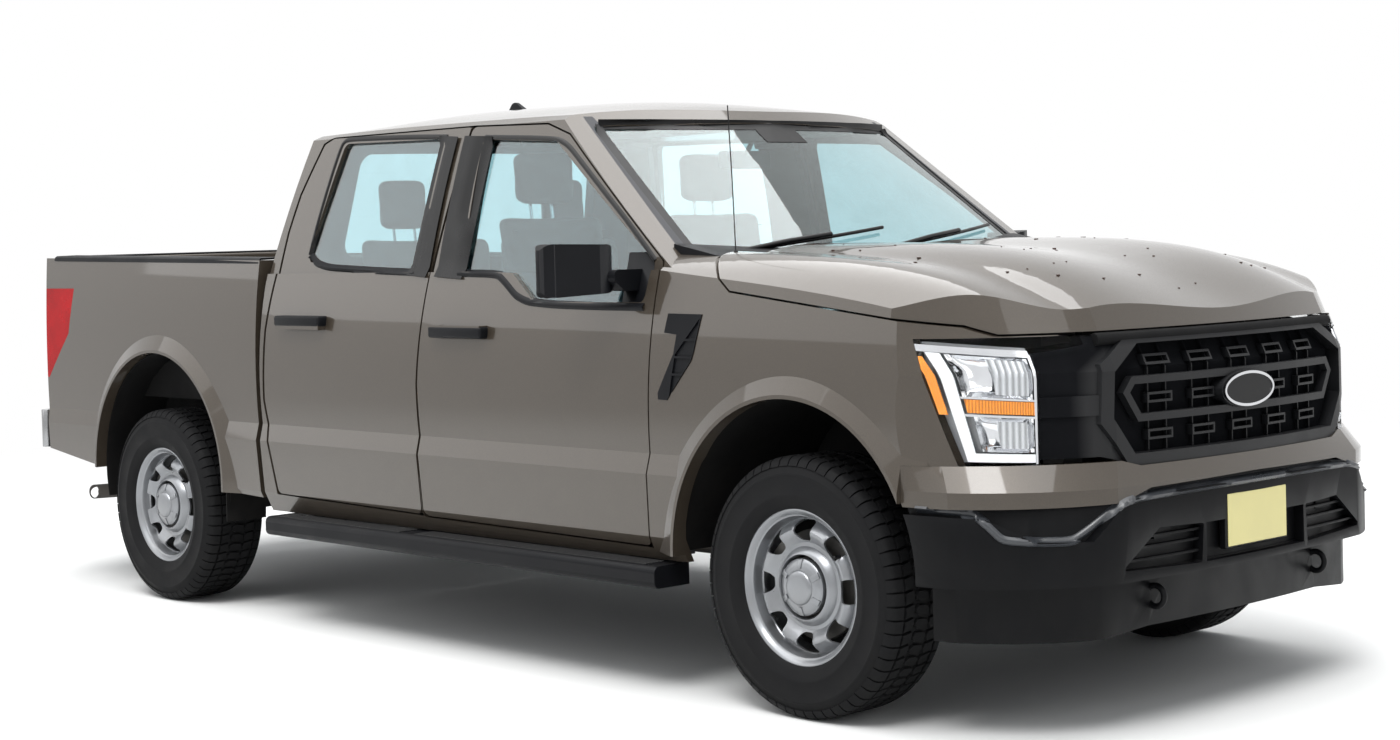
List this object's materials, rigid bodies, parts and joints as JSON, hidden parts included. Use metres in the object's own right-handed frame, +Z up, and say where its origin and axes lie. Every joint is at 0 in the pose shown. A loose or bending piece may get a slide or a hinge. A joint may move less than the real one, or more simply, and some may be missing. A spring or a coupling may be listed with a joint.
{
  "type": "four-door pickup truck",
  "caption": "Full-size four-door pickup truck with an open cargo bed, side steps and steel wheels; doors, hood and tailgate open, front wheels steer and all wheels roll.",
  "frame": {"origin": "on the ground under the middle of the overall length and width", "axes": "+X towards the front of the truck, +Y to its left side, +Z up"},
  "size_m": [5.885, 2.4308, 2.0032],
  "materials": {
    "paint": "metallic gloss",
    "black_plastic": "grained, matte",
    "glass": "clear, faintly green",
    "tyre": "matte rubber",
    "wheel_silver": "satin silver",
    "frame_black": "semi-matte black",
    "lamp_clear": "clear moulded lens",
    "lamp_red": "red moulded lens",
    "seat_cloth": "woven cloth",
    "cabin_plastic": "soft grained",
    "iron": "rough",
    "exhaust_steel": "dull",
    "bumper_steel": "bright steel",
    "liner_plastic": "matte"
  },
  "bodies": {
    "body": {"bed_floor": "paint", "bed_sides": "paint", "bumper_cover": "paint", "cab_floor": "paint", "cab_glass": "glass", "cab_rear": "paint", "cab_side_left": "paint", "cab_side_right": "paint", "cowl_panel": "black_plastic", "dashboard": "cabin_plastic", "exhaust": "exhaust_steel", "fender_vents": "black_plastic", "fenders": "paint", "firewall": "paint", "frame": "frame_black", "front_bumper": "black_plastic", "front_suspension": "frame_black", "fuel_tank": "liner_plastic", "grille": "black_plastic", "headlamps": "lamp_clear", "powertrain": "iron", "radiator_support": "frame_black", "rear_axle": "frame_black", "rear_bumper": "bumper_steel", "roof_fin": "black_plastic", "roof_panel": "paint", "seats": "seat_cloth", "side_steps": "black_plastic", "spare_wheel": "tyre", "steering_wheel": "cabin_plastic", "tail_lamps": "lamp_red", "wheel_liners": "liner_plastic"},
    "door_front_left": {"door_front_left": "paint", "glass_front_left": "glass", "mirror_left": "black_plastic"},
    "door_front_right": {"door_front_right": "paint", "glass_front_right": "glass", "mirror_right": "black_plastic"},
    "door_rear_left": {"door_rear_left": "paint", "glass_rear_left": "glass"},
    "door_rear_right": {"door_rear_right": "paint", "glass_rear_right": "glass"},
    "hood": {"hood": "paint"},
    "knuckle_left": {"knuckle_left": "iron"},
    "knuckle_right": {"knuckle_right": "iron"},
    "wheel_front_left": {"rim_front_left": "wheel_silver", "tyre_front_left": "tyre"},
    "wheel_front_right": {"rim_front_right": "wheel_silver", "tyre_front_right": "tyre"},
    "wheel_rear_left": {"rim_rear_left": "wheel_silver", "tyre_rear_left": "tyre"},
    "wheel_rear_right": {"rim_rear_right": "wheel_silver", "tyre_rear_right": "tyre"},
    "tailgate": {"tailgate": "paint"}
  },
  "joints": [
    {"name": "front_door_left", "type": "hinge", "parent": "body", "child": "door_front_left", "pos_m": [1.3525, 1, 0.9], "axis": [0, 0, -1], "range_deg": [0, 65]},
    {"name": "rear_door_left", "type": "hinge", "parent": "body", "child": "door_rear_left", "pos_m": [0.2005, 1, 0.9], "axis": [0, 0, -1], "range_deg": [0, 68]},
    {"name": "front_door_right", "type": "hinge", "parent": "body", "child": "door_front_right", "pos_m": [1.3525, -1, 0.9], "axis": [0, 0, 1], "range_deg": [0, 65]},
    {"name": "rear_door_right", "type": "hinge", "parent": "body", "child": "door_rear_right", "pos_m": [0.2005, -1, 0.9], "axis": [0, 0, 1], "range_deg": [0, 68]},
    {"name": "hood_hinge", "type": "hinge", "parent": "body", "child": "hood", "pos_m": [1.5325, 0, 1.41], "axis": [0, -1, 0], "range_deg": [0, 50]},
    {"name": "tailgate_hinge", "type": "hinge", "parent": "body", "child": "tailgate", "pos_m": [-2.7155, 0, 0.899], "axis": [0, -1, 0], "range_deg": [0, 90]},
    {"name": "steer_left", "type": "hinge", "parent": "body", "child": "knuckle_left", "pos_m": [1.9825, 0.77, 0.395], "axis": [0, 0, 1], "range_deg": [-33, 33]},
    {"name": "steer_right", "type": "hinge", "parent": "body", "child": "knuckle_right", "pos_m": [1.9825, -0.77, 0.395], "axis": [0, 0, 1], "range_deg": [-33, 33]},
    {"name": "roll_front_left", "type": "hinge", "parent": "knuckle_left", "child": "wheel_front_left", "pos_m": [1.9825, 0.861, 0.395], "axis": [0, 1, 0], "continuous": true},
    {"name": "roll_rear_left", "type": "hinge", "parent": "body", "child": "wheel_rear_left", "pos_m": [-1.7105, 0.861, 0.395], "axis": [0, 1, 0], "continuous": true},
    {"name": "roll_front_right", "type": "hinge", "parent": "knuckle_right", "child": "wheel_front_right", "pos_m": [1.9825, -0.861, 0.395], "axis": [0, 1, 0], "continuous": true},
    {"name": "roll_rear_right", "type": "hinge", "parent": "body", "child": "wheel_rear_right", "pos_m": [-1.7105, -0.861, 0.395], "axis": [0, 1, 0], "continuous": true}
  ],
  "couplings": [
    {"joint": "steer_right", "follows": "steer_left", "ratio": 1}
  ]
}
